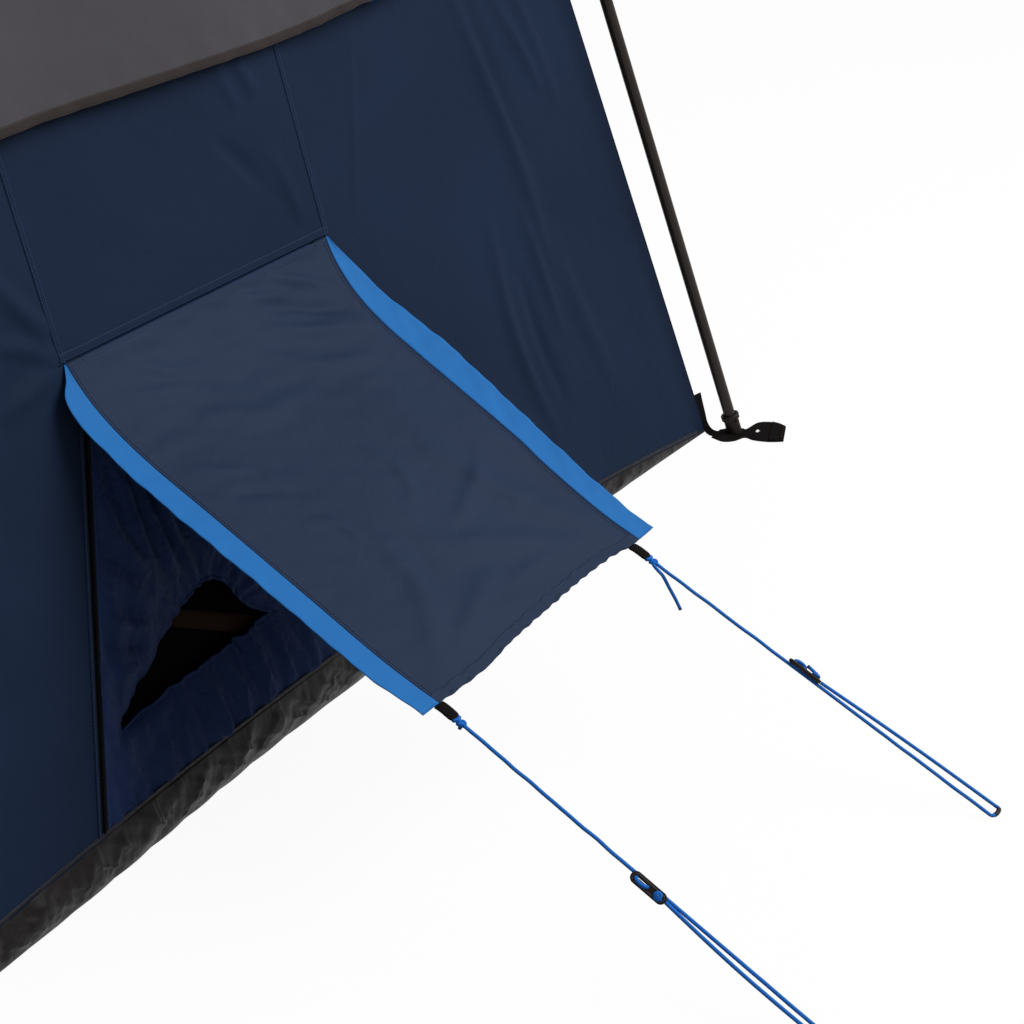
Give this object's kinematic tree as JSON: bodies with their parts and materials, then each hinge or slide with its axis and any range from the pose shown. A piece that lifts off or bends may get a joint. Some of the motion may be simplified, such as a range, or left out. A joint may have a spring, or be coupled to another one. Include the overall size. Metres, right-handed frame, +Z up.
{
  "type": "cabin tent",
  "caption": "Cabin tent with leaning walls, an outside frame of steel tube, a rain fly and a staked awning over a ground vent.",
  "frame": {"origin": "on the ground at the middle of the floor sheet's underside", "axes": "+X to the right wall that carries the awning, -Y to the door wall, +Z up"},
  "size_m": [4.1454, 2.5886, 1.9045],
  "materials": {
    "navy_polyester": "matt woven cloth",
    "bright_blue_polyester": "matt woven cloth",
    "grey_polyester": "matt woven cloth",
    "dark_grey_tarpaulin": "coated woven cloth",
    "black_netting": "fine netting",
    "black_webbing": "woven webbing",
    "painted_steel": "semi-gloss powder coat",
    "black_plastic": "moulded",
    "blackened_slider": "blackened",
    "bright_blue_cord": "braided"
  },
  "bodies": {
    "tent": {"right_wall_front_panel": "navy_polyester", "right_wall_rear_panel": "navy_polyester", "right_wall_upper_panel": "navy_polyester", "left_wall_panel": "navy_polyester", "rear_wall": "navy_polyester", "front_wall": "navy_polyester", "vent_panel": "navy_polyester", "ceiling": "navy_polyester", "fly_gusset_front_left": "bright_blue_polyester", "fly_gusset_front_right": "bright_blue_polyester", "fly_gusset_rear_left": "bright_blue_polyester", "fly_gusset_rear_right": "bright_blue_polyester", "fly_cover": "grey_polyester", "floor_sheet": "dark_grey_tarpaulin", "tub_skirt": "dark_grey_tarpaulin", "rear_window_mesh": "black_netting", "vent_mesh": "black_netting", "stake_loop_front_left": "black_webbing", "stake_loop_front_right": "black_webbing", "stake_loop_rear_left": "black_webbing", "stake_loop_rear_right": "black_webbing", "lower_leg_front_left": "painted_steel", "lower_leg_front_right": "painted_steel", "lower_leg_rear_left": "painted_steel", "lower_leg_rear_right": "painted_steel", "upper_leg_front_left": "painted_steel", "upper_leg_front_right": "painted_steel", "upper_leg_rear_left": "painted_steel", "upper_leg_rear_right": "painted_steel", "roof_pole_front_left": "painted_steel", "roof_pole_front_right": "painted_steel", "roof_pole_rear_left": "painted_steel", "roof_pole_rear_right": "painted_steel", "leg_foot_front_left": "black_plastic", "leg_foot_front_right": "black_plastic", "leg_foot_rear_left": "black_plastic", "leg_foot_rear_right": "black_plastic", "corner_elbow_front_left": "black_plastic", "corner_elbow_front_right": "black_plastic", "corner_elbow_rear_left": "black_plastic", "corner_elbow_rear_right": "black_plastic", "roof_hub": "black_plastic"},
    "awning": {"awning_panel": "navy_polyester", "awning_hem": "navy_polyester", "awning_strip_front": "bright_blue_polyester", "awning_strip_rear": "bright_blue_polyester"},
    "guyline_front_run": {"guyline_tab_front": "black_webbing", "awning_knot_front": "bright_blue_cord", "guyline_front": "bright_blue_cord", "return_strand_front": "bright_blue_cord"},
    "guyline_rear_run": {"guyline_tab_rear": "black_webbing", "awning_knot_rear": "bright_blue_cord", "guyline_rear": "bright_blue_cord", "return_strand_rear": "bright_blue_cord"},
    "tensioner_front_slider": {"tensioner_front": "black_plastic"},
    "tensioner_rear_slider": {"tensioner_rear": "black_plastic"},
    "vent_slider": {"vent_zip_slider": "blackened_slider"},
    "door": {"door_leaf": "navy_polyester"},
    "door_slider": {"door_zip_slider": "blackened_slider"},
    "window_flap": {"rear_window_flap": "navy_polyester"}
  },
  "joints": [
    {"name": "awning_hinge", "type": "hinge", "parent": "tent", "child": "awning", "pos_m": [1.354, 0, 0.649], "axis": [0, 1, 0], "range_deg": [0, 38], "deforming": ["awning_panel", "awning_strip_front", "awning_strip_rear"]},
    {"name": "guyline_front_hinge", "type": "hinge", "parent": "awning", "child": "guyline_front_run", "pos_m": [1.9044, -0.258, 0.2849], "axis": [0, 1, 0], "range_deg": [-75, 0]},
    {"name": "guyline_rear_hinge", "type": "hinge", "parent": "awning", "child": "guyline_rear_run", "pos_m": [1.9044, 0.2469, 0.2849], "axis": [0, 1, 0], "range_deg": [-75, 0]},
    {"name": "tensioner_front_slide", "type": "slide", "parent": "guyline_front_run", "child": "tensioner_front_slider", "axis": [0.8934, -0.0374, -0.4478], "range_m": [0, 0.08], "deforming": ["return_strand_front"]},
    {"name": "tensioner_rear_slide", "type": "slide", "parent": "guyline_rear_run", "child": "tensioner_rear_slider", "axis": [0.894, 0.0172, -0.4478], "range_m": [0, 0.08], "deforming": ["return_strand_rear"]},
    {"name": "vent_zip_slide", "type": "slide", "parent": "tent", "child": "vent_slider", "axis": [0.2407, -0.342, -0.9084], "range_m": [0, 0.46]},
    {"name": "door_hinge", "type": "hinge", "parent": "tent", "child": "door", "pos_m": [-0.31, -1.22, 0], "axis": [0, 0.1483, 0.9889], "range_deg": [-110, 0]},
    {"name": "door_zip_slide", "type": "slide", "parent": "tent", "child": "door_slider", "axis": [0, 0.1483, 0.9889], "range_m": [0, 1.16]},
    {"name": "window_flap_hinge", "type": "hinge", "parent": "tent", "child": "window_flap", "pos_m": [0, 1.1099, 0.72], "axis": [1, 0, 0], "range_deg": [0, 150]}
  ],
  "couplings": [
    {"joint": "guyline_front_hinge", "follows": "awning_hinge", "ratio": -1.95},
    {"joint": "guyline_rear_hinge", "follows": "awning_hinge", "ratio": -1.95}
  ]
}
